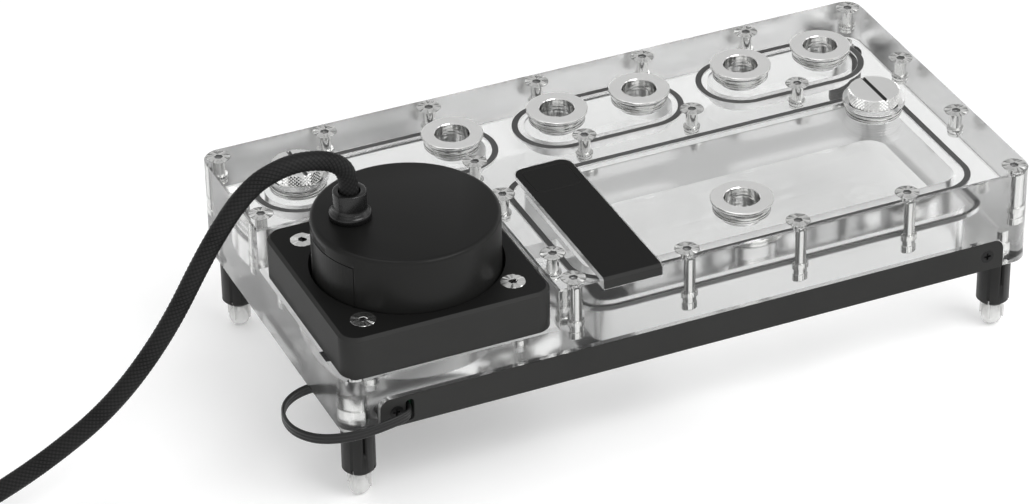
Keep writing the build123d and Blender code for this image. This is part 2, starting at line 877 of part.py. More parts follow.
def make_light_coil():
    x, y = light_coil_centre
    half_band = light_coil_pitch * (light_coil_turns + 1) / 2
    outer = light_coil_radius + half_band
    body = ring(x, y, 0, light_cord_width, outer, light_coil_radius - half_band)
    lead_x, lead_y = light_route[-1][0], light_route[-1][1]
    half = light_cord_diameter / 2
    return body + block(lead_x, x, lead_y - half, lead_y + half, 0, light_cord_width)


def make_light_plug():
    length, width, height = light_plug_size
    x = light_coil_centre[0] + light_coil_radius
    y = light_coil_centre[1]
    low = light_cord_width
    return block(x - width / 2, x + width / 2, y - length / 2, y + length / 2, low, low + height)


os.makedirs("parts", exist_ok=True)

save("base_plate", make_base_plate())
save("cover_plate", make_cover_plate())
for side, ends in channels.items():
    save("channel_seal_" + side, seal_track_stadium(ends[0], ends[1], port_y, 0))
save("reservoir_seal", reservoir_track(0))
save("pump_seal", pump_seal(0))

for number, (x, y) in enumerate(port_places, start=1):
    save("port_ring_" + str(number), port_ring(x, y, 0.0))
save("port_ring_reservoir", port_ring(*reservoir_port, 0.0))
save("port_seals", group([port_seal(x, y, 0.0) for x, y in port_places + [reservoir_port]]))
for side, (x, y) in {"left": plug_left, "right": plug_right}.items():
    save("plug_ring_" + side, port_ring(x, y, plug_drop))
    save("plug_washer_" + side, make_plug_washer(x, y))
    save("plug_" + side, make_plug(x, y))
save("plug_ring_seals", group([port_seal(x, y, plug_drop) for x, y in (plug_left, plug_right)]))

save("cover_screws", group([flat_head_screw(x, y, cover_top) for x, y in cover_screw_places]))
save("cover_inserts", group([insert_shape(x, y, base_top, screw_shaft_radius) for x, y in cover_screw_places]))
save("pump_mount", make_mount())
save("pump_screws", group([flat_head_screw(x, y, cover_top) for x, y in pump_screw_places]))
save("pump_inserts", group([insert_shape(x, y, base_top, screw_shaft_radius) for x, y in pump_screw_places]))
save("pump_can", make_can())
save("wet_housing", make_wet_housing())
save("rotor_post", make_post())
save("rotor_magnet", make_rotor())
save("impeller", make_impeller())
save("stator_core", make_stator())
save("stator_coils", make_coils())
save("pump_board", make_board())
save("cable_gland", make_gland())

save("cover_bar", make_bar())
save("badge_plate", badge_shape(0))
save("light_rail", make_rail())
save("rail_screws", make_rail_screws())
save("light_strip", make_light_strip())
save("light_lamps", make_lamps())

for corner, (x, y) in foot_places.items():
    save("foot_sleeve_" + corner, make_foot_sleeve(x, y))
    save("foot_tip_" + corner, make_foot_tip(x, y))
save("foot_studs", make_foot_studs())
save("foot_inserts", make_foot_inserts())

save("pump_cord", cord_tube(pump_route, pump_cord_diameter, "pump_cord"))
save("pump_cord_coil", make_pump_coil())
save("pump_plug", make_pump_plug())
save("light_cord", cord_tube(light_route, light_cord_diameter, "light_cord"))
save("light_cord_coil", make_light_coil())
save("light_plug", make_light_plug())
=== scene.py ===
# %% [markdown]
# # A clear cooling plate, dressed for its portrait
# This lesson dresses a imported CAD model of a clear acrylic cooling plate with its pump. The CAD model
# holds the sizes and the joints. Here every surface gets its finish, and the small things that a machine
# tool or a braiding machine leaves behind get real geometry: faceted screw heads, knurls, weave, threads.
# Everything is in metres, in the frame of the CAD model.

# %% Load the frame
import bmesh
import bpy
import json
import math
import numpy as np
from mathutils import Matrix, Vector


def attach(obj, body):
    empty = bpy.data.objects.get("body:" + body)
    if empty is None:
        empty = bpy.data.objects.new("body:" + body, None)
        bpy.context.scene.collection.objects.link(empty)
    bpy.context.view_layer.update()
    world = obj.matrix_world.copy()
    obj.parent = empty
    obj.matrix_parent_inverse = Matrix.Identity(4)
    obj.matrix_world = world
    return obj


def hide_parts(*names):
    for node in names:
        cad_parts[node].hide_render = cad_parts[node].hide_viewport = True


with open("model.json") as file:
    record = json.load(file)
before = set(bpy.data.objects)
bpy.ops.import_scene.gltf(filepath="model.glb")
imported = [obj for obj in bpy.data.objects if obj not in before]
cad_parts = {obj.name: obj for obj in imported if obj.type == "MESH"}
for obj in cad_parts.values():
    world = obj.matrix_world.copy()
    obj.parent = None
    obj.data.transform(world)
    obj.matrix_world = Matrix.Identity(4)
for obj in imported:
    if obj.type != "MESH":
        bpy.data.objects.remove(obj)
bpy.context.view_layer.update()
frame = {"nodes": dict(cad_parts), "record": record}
MM = 0.001

# %% [markdown]
# ## The camera
# The photograph is taken with a long lens from the front left, about a third of the way up the sky. The
# plate's straight edges and rows of screws fix the camera: its place, its slight roll and its lens. The
# picture is 1035 pixels wide, so a focal length in pixels becomes millimetres on a 36 mm sensor.

# %% Camera
PHOTO_WIDTH = 1035
FOCAL_PIXELS = 4121.2
SENSOR = 36.0
CAMERA_PLACE = Vector((-0.48418, -1.02670, 0.75628))
CAMERA_RIGHT = Vector((0.91279, -0.40825, -0.01237))
CAMERA_UP = Vector((0.23004, 0.48885, 0.84149))


def link(name, data):
    obj = bpy.data.objects.new(name, data)
    bpy.context.scene.collection.objects.link(obj)
    return obj


def make_camera():
    data = bpy.data.cameras.new("camera")
    data.sensor_width = SENSOR
    data.lens = SENSOR * FOCAL_PIXELS / PHOTO_WIDTH
    data.clip_start = 0.01
    data.clip_end = 50
    camera = link("camera", data)
    back = CAMERA_RIGHT.cross(CAMERA_UP)
    turn = Matrix((CAMERA_RIGHT, CAMERA_UP, back)).transposed()
    camera.matrix_world = Matrix.Translation(CAMERA_PLACE) @ turn.to_4x4()
    bpy.context.scene.camera = camera
    print("lens", round(data.lens, 1), "mm")


make_camera()

# %% [markdown]
# ## Node maths as plain expressions
# A shader is a small sum over numbers that change from place to place, and so is a rule that repeats a
# shape. Wiring every Math node by hand hides that sum, so one class wraps a socket and lets Python's own
# operators add the nodes. Any other node comes from one method that first sets the node's settings and then
# its values or links. The same classes serve materials and Geometry Nodes.


# %% A socket that can be added and multiplied
class Wire:
    def __init__(self, board, socket):
        self.board = board
        self.socket = socket

    def math(self, operation, other=0.0, swap=False):
        first, second = (other, self) if swap else (self, other)
        return self.board.node("ShaderNodeMath", {"operation": operation}, {0: first, 1: second})[0]

    def __add__(self, other):
        return self.math("ADD", other)

    def __sub__(self, other):
        return self.math("SUBTRACT", other)

    def __mul__(self, other):
        return self.math("MULTIPLY", other)

    def __truediv__(self, other):
        return self.math("DIVIDE", other)

    def __pow__(self, other):
        return self.math("POWER", other)

    def __mod__(self, other):
        return self.math("MODULO", other)

    def __radd__(self, other):
        return self.math("ADD", other, swap=True)

    def __rsub__(self, other):
        return self.math("SUBTRACT", other, swap=True)

    def __rmul__(self, other):
        return self.math("MULTIPLY", other, swap=True)

    def __rtruediv__(self, other):
        return self.math("DIVIDE", other, swap=True)


# %% [markdown]
# ## One way to add any node
# Every other node comes from one method. The node's own settings go in first, such as an operation or a
# ramp's stops, because they decide which sockets it has. Then each socket gets a value, a wire, or a list of
# wires where it takes several. An output can be picked by its name, which reads better than a number.


# %% A tree that takes nodes
class Outputs(list):
    """A node's outputs, picked by name or by place."""

    def __getitem__(self, key):
        if isinstance(key, str):
            return next(wire for wire in self if wire.socket.name == key)
        return super().__getitem__(key)


class Board:
    """A node tree."""

    def __init__(self, tree):
        self.tree = tree

    def node(self, kind, settings=None, values=None):
        made = self.tree.nodes.new(kind)
        for key, value in (settings or {}).items():
            if key == "stops":
                self.set_stops(made.color_ramp.elements, value)
            else:
                setattr(made, key, value)
        for key, value in (values or {}).items():
            wires = value if isinstance(value, list) else [value]
            if isinstance(wires[0], Wire):
                for wire in wires:
                    self.tree.links.new(wire.socket, made.inputs[key])
            else:
                made.inputs[key].default_value = value
        return Outputs(Wire(self, out) for out in made.outputs)

    def set_stops(self, stops, levels):
        """Grey stops from pairs of a place and a level."""
        while len(stops) < len(levels):
            stops.new(1.0)
        for stop, (place, level) in zip(stops, levels):
            stop.position = place
            stop.color = (level, level, level, 1)


# %% [markdown]
# ## A material as a short recipe
# The finishes on this plate share a few ideas: a stretched noise, a mask for level faces, a number painted on
# the mesh, a blend of two colours, and a bump. As methods, they let each material below read like a recipe.

# %% A material
LEVEL_SHARPNESS = 8.0
MIX_FACTOR, MIX_FIRST, MIX_SECOND, MIX_RESULT = 0, 6, 7, 2


def with_alpha(value):
    """A colour socket wants four numbers."""
    return (*value, 1.0) if isinstance(value, tuple) else value


class Paint(Board):
    """One material."""

    def __init__(self, name):
        self.material = bpy.data.materials.new(name)
        self.material.use_nodes = True
        super().__init__(self.material.node_tree)
        self.tree.nodes.clear()
        self.shader = None

    def noise(self, scale, detail=2.0, stretch=(1, 1, 1)):
        """A noise on Object coordinates, stretched along an axis."""
        where = self.node("ShaderNodeTexCoord")["Object"]
        placed = self.node("ShaderNodeMapping", {}, {"Vector": where, "Scale": stretch})[0]
        return self.node("ShaderNodeTexNoise", {}, {"Vector": placed, "Scale": scale, "Detail": detail})[0]

    def level(self):
        """1 on a level face and 0 on an upright one."""
        normal = self.node("ShaderNodeNewGeometry")["Normal"]
        upward = self.node("ShaderNodeSeparateXYZ", {}, {0: normal})["Z"]
        return upward.math("ABSOLUTE") ** LEVEL_SHARPNESS

    def painted(self, name):
        """A number that the mesh carries. It is 0 where the mesh has none."""
        return self.node("ShaderNodeAttribute", {"attribute_name": name})["Fac"]

    def blend(self, mask, first, second):
        """The first colour where the mask is 0 and the second where it is 1."""
        sockets = {MIX_FACTOR: mask, MIX_FIRST: with_alpha(first), MIX_SECOND: with_alpha(second)}
        return self.node("ShaderNodeMix", {"data_type": "RGBA"}, sockets)[MIX_RESULT]

    def bump(self, height, strength, depth):
        """A relief of this many millimetres."""
        sockets = {"Height": height, "Strength": strength, "Distance": depth * MM}
        return self.node("ShaderNodeBump", {}, sockets)[0]

    def surface(self, **values):
        """The main shader. An underscore stands for the space in a socket's name."""
        named = {key.replace("_", " "): with_alpha(value) for key, value in values.items()}
        self.shader = self.node("ShaderNodeBsdfPrincipled", {}, named)[0]
        return self

    def done(self):
        self.node("ShaderNodeOutputMaterial", {}, {"Surface": self.shader})
        return self.material


# %% [markdown]
# ## Clear acrylic
# Cast acrylic is as clear as glass but bends light a little less. Its level faces keep their cast polish with
# a very faint ripple. The upright walls are milled. Those of the front and the left end are polished almost
# clear, while the channels, the rear and the right end keep a softer finish, so what they mirror inside the
# plastic is blurred. A renderer is slow to find the bright spots behind glass, so the light that only passes
# through on its way to the table would be lost. A shadow ray therefore sees a thin grey filter instead. The
# tips of the feet are clear too, but of silicone, with a slight cloud in it.

# %% Acrylic and silicone
ACRYLIC_IOR = 1.46
ACRYLIC_TINT = (0.80, 0.805, 0.80)
ACRYLIC_SHADE = (0.97, 0.97, 0.97)
UNTINTED = (1.0, 1.0, 1.0)
OUTSIDE_ROUGH = 0.17
MILLED_ROUGH = 0.3
SILICONE_IOR = 1.41


def acrylic():
    paint = Paint("clear_acrylic")
    ripple = paint.noise(40.0, 1.0)
    upright = 1.0 - paint.level()
    rough = OUTSIDE_ROUGH + paint.painted("milled") * (MILLED_ROUGH - OUTSIDE_ROUGH)
    tint = paint.blend(paint.painted("inner"), ACRYLIC_TINT, UNTINTED)
    paint.surface(Base_Color=tint, Roughness=upright * rough, IOR=ACRYLIC_IOR,
                  Transmission_Weight=1.0, Normal=paint.bump(ripple, 0.02, 1.0))
    rays = paint.node("ShaderNodeLightPath")
    passing = rays["Is Shadow Ray"].math("MAXIMUM", rays["Is Diffuse Ray"])
    filtered = paint.node("ShaderNodeBsdfTransparent", {}, {"Color": with_alpha(ACRYLIC_SHADE)})[0]
    paint.shader = paint.node("ShaderNodeMixShader", {}, {0: passing, 1: paint.shader, 2: filtered})[0]
    return paint.done()


def silicone():
    paint = Paint("clear_rubber")
    cloud = paint.noise(300.0)
    tint = paint.blend(cloud, (0.86, 0.86, 0.85), (0.96, 0.96, 0.95))
    return paint.surface(Base_Color=tint, Roughness=0.22, IOR=SILICONE_IOR, Transmission_Weight=0.55,
                         Normal=paint.bump(cloud, 0.1, 0.2)).done()


SLOTS = {"clear_acrylic": acrylic(), "clear_rubber": silicone()}
print(len(SLOTS), "clear materials")

# %% [markdown]
# ## Metals
# Nickel plate is bright and almost white. Turning leaves fine rings and brushing leaves straight lines, so
# the roughness and a very small bump follow a noise that is stretched the same way. A flat face is brushed
# and looks matt and pale, while the edges and sides are polished: the upright part of the normal tells them
# apart. The mesh marks the faces at the bottom of a slot or a socket, and the metal is painted dark there:
# this is painted shade in the recess.

# %% Nickel, steel and copper
PAINTED_RECESS_SHADE = (0.3, 0.3, 0.3)
PATCH_SCALE = 90.0
PATCH_SHADE = 0.94
# Colour, roughness of the sides and of the level faces, grain, its stretch, and its depth in millimetres.
METALS = {
    "polished_nickel": ((0.93, 0.93, 0.92), 0.13, 0.36, 700.0, (1, 1, 6), 0.006),
    "knurled_nickel": ((0.90, 0.90, 0.89), 0.12, 0.34, 900.0, (8, 1, 1), 0.01),
    "turned_steel": ((0.80, 0.80, 0.79), 0.14, 0.24, 1200.0, (1, 1, 4), 0.006),
    "bright_steel": ((0.84, 0.84, 0.83), 0.18, 0.25, 900.0, (1, 1, 8), 0.01),
    "core_steel": ((0.40, 0.40, 0.41), 0.35, 0.35, 500.0, (1, 1, 30), 0.03),
    "copper_wire": ((0.72, 0.36, 0.19), 0.30, 0.30, 400.0, (1, 1, 20), 0.1),
}


def metal(name, colour, side_rough, level_rough, grain, stretch, depth):
    paint = Paint(name)
    lines = paint.noise(grain, 3.0, stretch)
    tint = paint.blend(paint.noise(PATCH_SCALE), tuple(c * PATCH_SHADE for c in colour), colour)
    # Faces marked at the bottom of a slot or socket are painted dark: painted shade in the recess.
    tint = paint.blend(paint.painted("recess"), tint, PAINTED_RECESS_SHADE)
    rough = side_rough + paint.level() * (level_rough - side_rough)
    return paint.surface(Base_Color=tint, Metallic=1.0, Roughness=rough * (0.75 + lines * 0.5),
                         Normal=paint.bump(lines, 0.25, depth)).done()


SLOTS.update({name: metal(name, *recipe) for name, recipe in METALS.items()})
print(len(METALS), "metals")

# %% [markdown]
# ## Black finishes
# Anodised aluminium is matt black with a fine even grain from bead blasting. Moulded plastic has a softer
# sheen and a slightly larger grain, and rubber is duller still. All are the same recipe with other numbers: a
# grain that lifts the roughness, faint patches in the colour, and a bump of a few hundredths of a
# millimetre. A low specular level keeps the black deep where it mirrors a bright room, and painted shade on
# level faces, a darker copy of the colour, keeps them deep under the lamps. The braided sleeve's colour
# follows its weave instead of patches: painted shade in the hollows between the threads, lighter on the crests.

# %% Satin blacks and other plain colours
SATINS = {
    "seal_rubber": {"colour": (0.07, 0.07, 0.07), "roughness": 0.6},
    # A shade for level faces below 1 paints them darker: painted shade on the tops.
    "black_anodised": {"colour": (0.032, 0.032, 0.0312), "roughness": 0.42, "specular": 0.06,
                       "painted_top_shade": 0.3},
    "black_steel": {"colour": (0.012, 0.012, 0.012), "roughness": 0.32, "metallic": 0.3},
    "satin_black_plastic": {"colour": (0.0145, 0.0145, 0.014), "roughness": 0.34, "grain": 1800.0,
                            "depth": 0.03, "specular": 0.12, "painted_top_shade": 0.5},
    "black_rubber": {"colour": (0.006, 0.006, 0.006), "roughness": 0.28, "grain": 1500.0, "specular": 0.45},
    "pump_plastic": {"colour": (0.05, 0.05, 0.05), "roughness": 0.45},
    "magnet": {"colour": (0.07, 0.07, 0.075), "roughness": 0.4, "metallic": 0.5},
    "circuit_board": {"colour": (0.02, 0.07, 0.035), "roughness": 0.35},
    "lamp_resin": {"colour": (0.85, 0.85, 0.78), "roughness": 0.3, "specular": 0.5},
    "black_plastic": {"colour": (0.011, 0.011, 0.0105), "roughness": 0.42, "grain": 1600.0},
    # The sleeve's colour follows the weave number: painted shade in the hollows, lighter on the crests.
    "braided_sleeve": {"colour": (0.013, 0.013, 0.013), "roughness": 0.5, "grain": 6000.0, "depth": 0.04,
                       "spread": 0.95, "specular": 0.12, "painted_shade_mark": "raised"},
    "flat_wire": {"colour": (0.010, 0.010, 0.010), "roughness": 0.42, "grain": 2200.0, "specular": 0.3},
    "connector_plastic": {"colour": (0.02, 0.02, 0.02), "roughness": 0.3, "grain": 1500.0, "specular": 0.4},
}
SATIN_PATCH_SCALE = 45.0
GRAIN_ROUGH = 0.1


def satin(name, colour, roughness, grain=2500.0, depth=0.02, spread=0.12, metallic=0.0, specular=0.2,
          painted_shade_mark=None, painted_top_shade=1.0):
    """The colour varies by spread in soft patches, or by a marked number that paints shade where it is low."""
    paint = Paint(name)
    fine = paint.noise(grain)
    # A marked number, such as the weave's, paints shade where it is low and a lighter colour where it is high.
    patches_or_weave_shade = paint.painted(painted_shade_mark) if painted_shade_mark else paint.noise(SATIN_PATCH_SCALE)
    # Level faces can take a darker copy of the colour: painted shade on the tops.
    low, high, flat = (tuple(c * share for c in colour) for share in (1 - spread, 1 + spread, painted_top_shade))
    tint = paint.blend(paint.level(), paint.blend(patches_or_weave_shade, low, high), flat)
    rough = roughness - GRAIN_ROUGH / 2 + fine * GRAIN_ROUGH
    return paint.surface(Base_Color=tint, Metallic=metallic, Roughness=rough, Specular_IOR_Level=specular,
                         Normal=paint.bump(fine, 0.35, depth)).done()


SLOTS.update({name: satin(name, **recipe) for name, recipe in SATINS.items()})
print(len(SLOTS), "materials in all")

# %% [markdown]
# ## What stands for what
# The CAD record says which material and which moving body each node has. A finished piece takes both from the
# node that it stands for, so the knurl of a plug turns with the plug. A piece is also made plain first: its
# modifiers are worked out once and none is left live.

# %% Slots and bodies
slot_of = {part["node"]: part["material_slot"] for part in frame["record"]["subparts"]}
bodies = frame["record"]["behaviour"]["bodies"]
body_of = {node: body for body, members in bodies.items() for node in members}


def show(obj, node, *others):
    """Gives a finished piece its material, its body and the nodes that it stands for."""
    name = slot_of[node]
    obj.data.materials.clear()
    obj.data.materials.append(SLOTS[name])
    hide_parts(node, *others)
    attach(obj, body_of[node])
    return obj


def plain(obj):
    """The evaluated shape of an object, as a plain mesh with no modifiers left."""
    graph = bpy.context.evaluated_depsgraph_get()
    mesh = bpy.data.meshes.new_from_object(obj.evaluated_get(graph))
    obj.modifiers.clear()
    obj.data = mesh
    return obj


# %% [markdown]
# ## A node's own solid, made ready for close looks
# A CAD node arrives as loose triangles. A copy of it is merged into one skin. Its round faces are made smooth
# and its flat ones kept flat, and a number can be painted on chosen faces for a material to read.

# %% Merge, smooth and mark
MERGE = 0.002 * MM
SAME_PLANE = math.radians(0.5)
SMOOTH_ANGLE = math.radians(32)
LEVEL_COSINE = 0.999
WIDE_PLANE = 6.0


def merged_copy(node, whole_faces=True, own_normals=True):
    """One skin. Its triangles can stay apart, and the CAD model's normals can be left off."""
    shape = bmesh.new()
    shape.from_mesh(frame["nodes"][node].data)
    bmesh.ops.remove_doubles(shape, verts=shape.verts, dist=MERGE)
    if whole_faces:
        bmesh.ops.dissolve_limit(shape, angle_limit=SAME_PLANE, verts=shape.verts, edges=shape.edges)
    mesh = bpy.data.meshes.new(node + "_skin")
    shape.to_mesh(mesh)
    shape.free()
    if not own_normals and "custom_normal" in mesh.attributes:
        mesh.attributes.remove(mesh.attributes["custom_normal"])
    return link(node + "_skin", mesh)


def smooth(obj, angle=SMOOTH_ANGLE):
    obj.data.shade_smooth()
    obj.data.set_sharp_from_angle(angle=angle)
    return obj


def flat_planes(obj):
    """Smooth shading, but flat on every wide plane and on every level face."""
    mesh = smooth(obj).data
    planes = {}
    for face in mesh.polygons:
        facing = face.normal
        key = tuple(round(v, 3) for v in facing) + (round(facing.dot(face.center) / MM, 2),)
        planes.setdefault(key, []).append(face)
    for faces in planes.values():
        spots = np.array([mesh.vertices[corner].co[:2] for face in faces for corner in face.vertices]) / MM
        if abs(faces[0].normal.z) > LEVEL_COSINE or np.ptp(spots, axis=0).max() > WIDE_PLANE:
            for face in faces:
                face.use_smooth = False
    return obj


def mark(obj, name, chosen):
    """Writes a number on every face: 1 where chosen(centre in mm) holds."""
    layer = obj.data.attributes.new(name, "FLOAT", "FACE")
    layer.data.foreach_set("value", [float(chosen(face.center / MM)) for face in obj.data.polygons])
    return obj


# %% [markdown]
# ## The break on a sharp edge
# Every machined or moulded edge is broken by a tenth of a millimetre or so, and that break is what catches
# the light. A bevel in two steps makes it. The copy then stands for the node.

# %% Dress a node
SHARP_ANGLE = math.radians(40)


def dress(node, edge=0.0):
    """A node's own shape in its finish, with its sharp edges broken by this many millimetres."""
    obj = merged_copy(node, own_normals=not edge)
    if not edge:
        return show(smooth(obj), node)
    bevel = obj.modifiers.new("edge break", "BEVEL")
    bevel.width = edge * MM
    bevel.segments = 2
    bevel.limit_method = "ANGLE"
    bevel.angle_limit = SHARP_ANGLE
    return show(flat_planes(plain(obj)), node)


# %% [markdown]
# ## Turned shapes
# Screws, rings, plugs and glands are turned on a lathe, so one function spins a profile into a closed skin.
# A radius or a height may also change round the circle. That makes a hexagonal socket or a faceted face from
# the same function.

# %% Spin a profile
STEPS = 96


def circle(steps):
    """Angles once round, evenly spaced."""
    return np.arange(steps) * math.tau / steps


AROUND = circle(STEPS)


def outward(mesh):
    """Turns the faces of a closed skin to the outside."""
    shape = bmesh.new()
    shape.from_mesh(mesh)
    bmesh.ops.recalc_face_normals(shape, faces=shape.faces)
    shape.to_mesh(mesh)
    shape.free()
    return mesh


def spun(name, profile, centre=(0.0, 0.0, 0.0), steps=STEPS, loop=False):
    """A closed skin from (radius, height) pairs in millimetres. A loop has no ends on the axis."""
    angle = circle(steps)
    rows = []
    for radius, height in profile:
        radius = np.broadcast_to(radius, (steps,))
        height = np.broadcast_to(height, (steps,))
        rows.append(np.stack([radius * np.cos(angle), radius * np.sin(angle), height], axis=1))
    points = np.concatenate(rows)
    faces = []
    count = len(rows)
    for row in range(count if loop else count - 1):
        low, high = row * steps, (row + 1) % count * steps
        for step in range(steps):
            after = (step + 1) % steps
            faces.append((low + step, low + after, high + after, high + step))
    if not loop:
        ends = [[0, 0, rows[0][:, 2].mean()], [0, 0, rows[-1][:, 2].mean()]]
        points = np.concatenate([points, ends])
        last = (count - 1) * steps
        for step in range(steps):
            after = (step + 1) % steps
            faces.append((count * steps, after, step))
            faces.append((count * steps + 1, last + step, last + after))
    mesh = bpy.data.meshes.new(name)
    mesh.from_pydata((points * MM + np.array(centre)).tolist(), [], faces)
    return link(name, outward(mesh))


# %% [markdown]
# ## One shape, many places
# Twenty-two cover screws are one screw. Geometry Nodes puts the model on every point of a small point cloud
# and can turn each copy by its own random amount from a fixed seed, because nobody stops two screws at the
# same angle. The copies are made real before the mesh is taken out, so that nothing is left live.

# %% Put a model on points


def new_tree(name, sockets):
    """A tree that takes a mesh and these named inputs and gives a mesh."""
    tree = bpy.data.node_groups.new(name, "GeometryNodeTree")
    tree.interface.new_socket("Geometry", in_out="INPUT", socket_type="NodeSocketGeometry")
    ids = {}
    for label, kind in sockets.items():
        made = tree.interface.new_socket(label, in_out="INPUT", socket_type="NodeSocket" + kind)
        ids[label] = made.identifier
    tree.interface.new_socket("Geometry", in_out="OUTPUT", socket_type="NodeSocketGeometry")
    board = Board(tree)
    return board, ids, dict(zip(["Geometry", *sockets], board.node("NodeGroupInput")))


def copies_tree():
    sockets = {"Model": "Object", "Most turn": "Float", "Seed": "Int", "Finish": "Material"}
    board, ids, given = new_tree("copies", sockets)
    model = board.node("GeometryNodeObjectInfo", {}, {"Object": given["Model"], "As Instance": True})[-1]
    chance = board.node("FunctionNodeRandomValue", {"data_type": "FLOAT"}, {"Seed": given["Seed"]})[1]
    turn = board.node("ShaderNodeCombineXYZ", {}, {"Z": chance * given["Most turn"]})[0]
    stands = {"Points": given["Geometry"], "Instance": model, "Rotation": turn}
    placed = board.node("GeometryNodeInstanceOnPoints", {}, stands)[0]
    real = board.node("GeometryNodeRealizeInstances", {}, {"Geometry": placed})[0]
    done = board.node("GeometryNodeSetMaterial", {}, {"Geometry": real, "Material": given["Finish"]})[0]
    board.node("NodeGroupOutput", {}, {0: done})
    return board.tree, ids


COPIES = copies_tree()


def run_tree(obj, made, values):
    """Runs a tree on an object with these values for its named inputs."""
    tree, ids = made
    change = obj.modifiers.new("nodes", "NODES")
    change.node_group = tree
    for label, value in values.items():
        change[ids[label]] = value
    return plain(obj)


def copies(name, model, places, slot="clear_acrylic", turn=0.0, seed=1):
    """One mesh with the model on every place, in millimetres."""
    mesh = bpy.data.meshes.new(name)
    mesh.from_pydata([tuple(v * MM for v in place) for place in places], [], [])
    piece = link(name, mesh)
    run_tree(piece, COPIES, {"Model": model, "Most turn": turn, "Seed": seed, "Finish": SLOTS[slot]})
    bpy.data.objects.remove(model)
    print(name, len(places), "copies,", len(piece.data.polygons), "faces")
    return piece


# %% [markdown]
# ## The places of the fasteners and rings
# These are the CAD model's own places: a row of screws along each long side, an inner row, and the pump's
# four. The rings stand in a row of five, one over the reservoir, and one lower under each plug.

# %% Places
PLATE_TOP = 62.5
PLATE_BOTTOM = 28.0
FEET = [(x, y) for x in (-112.5, 112.5) for y in (-52.5, 52.5)]
SCREW_COLUMNS = (115.0, 76.0, 37.0, -2.0, -41.0)
LEFT_COLUMNS = (-78.0, -115.0)
COVER_SCREWS = (
    [(x, y, PLATE_TOP) for y in (57.0, 19.0) for x in SCREW_COLUMNS + LEFT_COLUMNS]
    + [(115.0, -19.0, PLATE_TOP)]
    + [(x, -57.0, PLATE_TOP) for x in SCREW_COLUMNS]
    + [(-41.0, -3.0, PLATE_TOP), (-41.0, -41.5, PLATE_TOP)]
)
MOUNT_CENTRE = (-83.7, -26.0)
PUMP_REACH = (-25, 25)
PUMP_SCREWS = [(MOUNT_CENTRE[0] + i, MOUNT_CENTRE[1] + j, PLATE_TOP) for i in PUMP_REACH for j in PUMP_REACH]
RING_TOP = PLATE_TOP + 0.3
PLUG_DROP = 3.1
PORTS = [(x, 38.0, RING_TOP) for x in (-40.8, -3.2, 26.8, 64.4, 94.4)] + [(26.9, -37.6, RING_TOP)]
PLUGS = {"left": (-95.0, 38.0), "right": (94.8, 0.4)}
PLUG_RINGS = [(x, y, RING_TOP - PLUG_DROP) for x, y in PLUGS.values()]
print(len(COVER_SCREWS), "cover screws,", len(PORTS), "ports")

# %% [markdown]
# ## Two clear sheets that become one
# Clamped acrylic sheets wet each other so well that the joint between them nearly disappears. The same holds
# where plastic closes round a screw or a threaded ring. For a renderer every thin film of air there would be
# a mirror, so the two sheets are joined into one solid, and the plastic is closed up to the metal it holds.
# The channels, the reservoir and the open wells stay hollow.

# %% The clear body
FILL_STEPS = 64
SCREW_FILL = [(0.01, 0.0), (4.15, 0.0), (4.15, -2.6), (3.0, -2.7), (3.0, -23.4), (0.01, -23.4)]
RING_FILL = [(6.8, -0.8), (10.9, -0.8), (10.9, -9.85), (6.8, -9.85)]
STUD_FILL = [(0.01, 0.05), (2.9, 0.05), (2.9, 5.65), (2.1, 5.7), (2.1, 10.2), (0.01, 10.2)]


def carve(target, operation, tool):
    """Joins a solid to the target or cuts it away."""
    change = target.modifiers.new(operation, "BOOLEAN")
    change.operation = operation
    change.solver = "EXACT"
    change.object = tool
    plain(target)
    bpy.data.objects.remove(tool)
    return target


def bare_copy(node):
    return merged_copy(node, whole_faces=False, own_normals=False)


def clear_body():
    body = carve(bare_copy("base_plate"), "UNION", bare_copy("cover_plate"))
    hole = spun("screw_fill", SCREW_FILL, steps=FILL_STEPS)
    carve(body, "UNION", copies("screw_fills", hole, COVER_SCREWS))
    collar = spun("ring_fill", RING_FILL, steps=FILL_STEPS, loop=True)
    carve(body, "UNION", copies("ring_fills", collar, PORTS + PLUG_RINGS))
    stud = spun("stud_fill", STUD_FILL, steps=FILL_STEPS)
    carve(body, "UNION", copies("stud_fills", stud, [(x, y, PLATE_BOTTOM) for x, y in FEET]))
    body.name = "clear_sheets"
    return body


# %% [markdown]
# ## Which clear faces are which
# The acrylic material asks each face two things: whether it lies inside the plate, where the tint would
# count twice, and whether it is milled. The place of a face answers both. The rounded corners beside the two
# polished walls are polished with them.

# %% Paint the clear faces
PLATE_HALF = (120.0, 62.0)
CORNER_SUM = 177.5
SKIN = 0.8
LEVEL_SKIN = 0.6


def is_inner(spot):
    return (PLATE_BOTTOM + LEVEL_SKIN < spot.z < PLATE_TOP - LEVEL_SKIN
            and abs(spot.x) < PLATE_HALF[0] - SKIN and abs(spot.y) < PLATE_HALF[1] - SKIN)


def is_milled(spot):
    polished_wall = spot.x <= SKIN - PLATE_HALF[0] or spot.y <= SKIN - PLATE_HALF[1]
    polished_corner = abs(spot.x) + abs(spot.y) >= CORNER_SUM and min(spot.x, spot.y) <= 0
    return not polished_wall and not polished_corner


clear_sheets = clear_body()
mark(clear_sheets, "inner", is_inner)
mark(clear_sheets, "milled", is_milled)
show(flat_planes(clear_sheets), "base_plate", "cover_plate")
print("clear body", len(clear_sheets.data.polygons), "faces")

# %% [markdown]
# ## Screws
# The heads are flat, and turning leaves a star of very shallow facets round a small hexagonal socket. Each
# facet tilts by its own few degrees, so it flashes light or dark. The shaft is a bright smooth pin, because its
# thread is hidden in a threaded insert, and the insert shows as a wider grooved sleeve round its lower third.

# %% Screws and inserts
HEAD_RADIUS = 4.0
HEAD_PROUD = 0.12
FACETS = 24
FACET_DEPTH = 0.075
FACET_SEED = 4
FACET_ANGLE = math.radians(1.5)
SOCKET_ACROSS = 2.5
FLUTE_DEPTH = 0.06
FLUTES = 24


